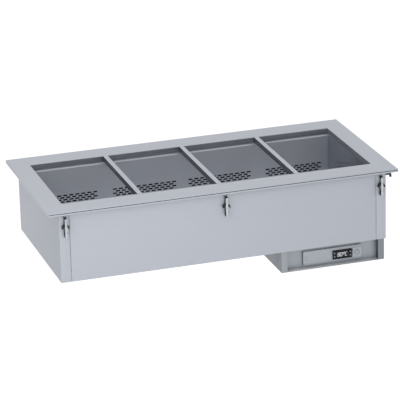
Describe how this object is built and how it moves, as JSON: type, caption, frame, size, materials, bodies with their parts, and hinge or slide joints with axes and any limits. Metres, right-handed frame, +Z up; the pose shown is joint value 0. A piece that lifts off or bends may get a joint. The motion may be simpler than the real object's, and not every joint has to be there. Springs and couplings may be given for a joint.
{
  "type": "drop-in food well",
  "caption": "Drop-in ventilated food well for full-size pans: stainless flange, lift-out crossbars, slotted air ducts, hung control box and worktop clamps.",
  "frame": {"origin": "centre of the worktop cut-out, on the worktop's top face, where the underside of the flange's lip rests", "axes": "+X along the length towards the control-box end as seen from the front, +Y to the rear, +Z up"},
  "size_m": [1.47, 0.716, 0.3953],
  "materials": {
    "satin_steel": "satin stainless sheet",
    "tank_steel": "satin stainless sheet, in the shade of the well",
    "control_steel": "satin stainless sheet",
    "zinc_steel": "bright zinc plate",
    "black_steel": "black paint",
    "heater_sheath": "heat-tinted stainless tube",
    "black_plastic": "fine-grained moulding",
    "grey_plastic": "moulded",
    "display_glass": "polished dark window",
    "mineral_wool": "felted fibre"
  },
  "bodies": {
    "well": {"top_flange": "satin_steel", "inner_tank": "tank_steel", "rear_air_duct": "tank_steel", "front_air_duct": "tank_steel", "fan_deck": "tank_steel", "fan_frame_left": "black_plastic", "heating_element_left": "heater_sheath", "fan_frame_right": "black_plastic", "heating_element_right": "heater_sheath", "temperature_probe": "zinc_steel", "insulation_jacket": "mineral_wool", "insulation_base": "mineral_wool", "front_panel": "satin_steel", "rear_panel": "satin_steel", "left_end_panel": "satin_steel", "right_end_panel": "satin_steel", "bottom_panel": "satin_steel", "control_box_shell": "control_steel", "left_post": "control_steel", "right_post": "control_steel", "control_fascia": "control_steel", "control_plate": "control_steel", "controller_housing": "black_plastic", "controller_window": "display_glass", "switch_housing": "zinc_steel", "terminal_block": "grey_plastic", "heater_relay": "zinc_steel", "cable_gland": "black_plastic", "front_clamp_left_bracket": "zinc_steel", "rear_clamp_left_bracket": "zinc_steel", "front_clamp_middle_bracket": "zinc_steel", "rear_clamp_middle_bracket": "zinc_steel", "front_clamp_right_bracket": "zinc_steel", "rear_clamp_right_bracket": "zinc_steel", "end_clamp_bracket": "zinc_steel"},
    "crossbar_left_body": {"crossbar_1": "satin_steel"},
    "crossbar_middle_body": {"crossbar_2": "satin_steel"},
    "crossbar_right_body": {"crossbar_3": "satin_steel"},
    "fan_left_body": {"fan_rotor_left": "black_plastic"},
    "fan_right_body": {"fan_rotor_right": "black_plastic"},
    "key_1_body": {"controller_key_1": "grey_plastic"},
    "key_2_body": {"controller_key_2": "grey_plastic"},
    "key_3_body": {"controller_key_3": "grey_plastic"},
    "key_4_body": {"controller_key_4": "grey_plastic"},
    "power_button_body": {"power_button": "zinc_steel"},
    "front_clamp_left_screw_body": {"front_clamp_left_screw": "zinc_steel"},
    "front_clamp_left_claw_body": {"front_clamp_left_claw": "black_steel"},
    "rear_clamp_left_screw_body": {"rear_clamp_left_screw": "zinc_steel"},
    "rear_clamp_left_claw_body": {"rear_clamp_left_claw": "black_steel"},
    "front_clamp_middle_screw_body": {"front_clamp_middle_screw": "zinc_steel"},
    "front_clamp_middle_claw_body": {"front_clamp_middle_claw": "black_steel"},
    "rear_clamp_middle_screw_body": {"rear_clamp_middle_screw": "zinc_steel"},
    "rear_clamp_middle_claw_body": {"rear_clamp_middle_claw": "black_steel"},
    "front_clamp_right_screw_body": {"front_clamp_right_screw": "zinc_steel"},
    "front_clamp_right_claw_body": {"front_clamp_right_claw": "black_steel"},
    "rear_clamp_right_screw_body": {"rear_clamp_right_screw": "zinc_steel"},
    "rear_clamp_right_claw_body": {"rear_clamp_right_claw": "black_steel"},
    "end_clamp_screw_body": {"end_clamp_screw": "zinc_steel"},
    "end_clamp_claw_body": {"end_clamp_claw": "black_steel"}
  },
  "joints": [
    {"name": "crossbar_left_lift", "type": "slide", "parent": "well", "child": "crossbar_left_body", "axis": [0, 0, 1], "range_m": [0, 0.045]},
    {"name": "crossbar_middle_lift", "type": "slide", "parent": "well", "child": "crossbar_middle_body", "axis": [0, 0, 1], "range_m": [0, 0.045]},
    {"name": "crossbar_right_lift", "type": "slide", "parent": "well", "child": "crossbar_right_body", "axis": [0, 0, 1], "range_m": [0, 0.045]},
    {"name": "fan_left_spin", "type": "hinge", "parent": "well", "child": "fan_left_body", "pos_m": [-0.3325, 0, -0.21], "axis": [0, 0, 1], "continuous": true},
    {"name": "fan_right_spin", "type": "hinge", "parent": "well", "child": "fan_right_body", "pos_m": [0.3325, 0, -0.21], "axis": [0, 0, 1], "continuous": true},
    {"name": "key_1_press", "type": "slide", "parent": "well", "child": "key_1_body", "axis": [0, 1, 0], "range_m": [0, 0.001], "stiffness_N_per_m": 400},
    {"name": "key_2_press", "type": "slide", "parent": "well", "child": "key_2_body", "axis": [0, 1, 0], "range_m": [0, 0.001], "stiffness_N_per_m": 400},
    {"name": "key_3_press", "type": "slide", "parent": "well", "child": "key_3_body", "axis": [0, 1, 0], "range_m": [0, 0.001], "stiffness_N_per_m": 400},
    {"name": "key_4_press", "type": "slide", "parent": "well", "child": "key_4_body", "axis": [0, 1, 0], "range_m": [0, 0.001], "stiffness_N_per_m": 400},
    {"name": "power_button_press", "type": "slide", "parent": "well", "child": "power_button_body", "axis": [0, 1, 0], "range_m": [0, 0.002], "stiffness_N_per_m": 600},
    {"name": "front_clamp_left_rise", "type": "slide", "parent": "well", "child": "front_clamp_left_claw_body", "axis": [0, 0, 1], "range_m": [-0.023, 0.021]},
    {"name": "front_clamp_left_turn", "type": "hinge", "parent": "well", "child": "front_clamp_left_screw_body", "pos_m": [-0.666, -0.343, -0.05], "axis": [0, 0, 1], "range_deg": [-10810, 11839]},
    {"name": "rear_clamp_left_rise", "type": "slide", "parent": "well", "child": "rear_clamp_left_claw_body", "axis": [0, 0, 1], "range_m": [-0.023, 0.021]},
    {"name": "rear_clamp_left_turn", "type": "hinge", "parent": "well", "child": "rear_clamp_left_screw_body", "pos_m": [-0.666, 0.343, -0.05], "axis": [0, 0, 1], "range_deg": [-10810, 11839]},
    {"name": "front_clamp_middle_rise", "type": "slide", "parent": "well", "child": "front_clamp_middle_claw_body", "axis": [0, 0, 1], "range_m": [-0.023, 0.021]},
    {"name": "front_clamp_middle_turn", "type": "hinge", "parent": "well", "child": "front_clamp_middle_screw_body", "pos_m": [0, -0.343, -0.05], "axis": [0, 0, 1], "range_deg": [-10810, 11839]},
    {"name": "rear_clamp_middle_rise", "type": "slide", "parent": "well", "child": "rear_clamp_middle_claw_body", "axis": [0, 0, 1], "range_m": [-0.023, 0.021]},
    {"name": "rear_clamp_middle_turn", "type": "hinge", "parent": "well", "child": "rear_clamp_middle_screw_body", "pos_m": [0, 0.343, -0.05], "axis": [0, 0, 1], "range_deg": [-10810, 11839]},
    {"name": "front_clamp_right_rise", "type": "slide", "parent": "well", "child": "front_clamp_right_claw_body", "axis": [0, 0, 1], "range_m": [-0.023, 0.021]},
    {"name": "front_clamp_right_turn", "type": "hinge", "parent": "well", "child": "front_clamp_right_screw_body", "pos_m": [0.666, -0.343, -0.05], "axis": [0, 0, 1], "range_deg": [-10810, 11839]},
    {"name": "rear_clamp_right_rise", "type": "slide", "parent": "well", "child": "rear_clamp_right_claw_body", "axis": [0, 0, 1], "range_m": [-0.023, 0.021]},
    {"name": "rear_clamp_right_turn", "type": "hinge", "parent": "well", "child": "rear_clamp_right_screw_body", "pos_m": [0.666, 0.343, -0.05], "axis": [0, 0, 1], "range_deg": [-10810, 11839]},
    {"name": "end_clamp_rise", "type": "slide", "parent": "well", "child": "end_clamp_claw_body", "axis": [0, 0, 1], "range_m": [-0.039, 0.0055]},
    {"name": "end_clamp_turn", "type": "hinge", "parent": "well", "child": "end_clamp_screw_body", "pos_m": [0.701, -0.27, -0.05], "axis": [0, 0, 1], "range_deg": [-2839, 20067]}
  ],
  "couplings": [
    {"joint": "front_clamp_left_turn", "follows": "front_clamp_left_rise", "rad_per_m": -8976},
    {"joint": "rear_clamp_left_turn", "follows": "rear_clamp_left_rise", "rad_per_m": -8976},
    {"joint": "front_clamp_middle_turn", "follows": "front_clamp_middle_rise", "rad_per_m": -8976},
    {"joint": "rear_clamp_middle_turn", "follows": "rear_clamp_middle_rise", "rad_per_m": -8976},
    {"joint": "front_clamp_right_turn", "follows": "front_clamp_right_rise", "rad_per_m": -8976},
    {"joint": "rear_clamp_right_turn", "follows": "rear_clamp_right_rise", "rad_per_m": -8976},
    {"joint": "end_clamp_turn", "follows": "end_clamp_rise", "rad_per_m": -8976}
  ]
}
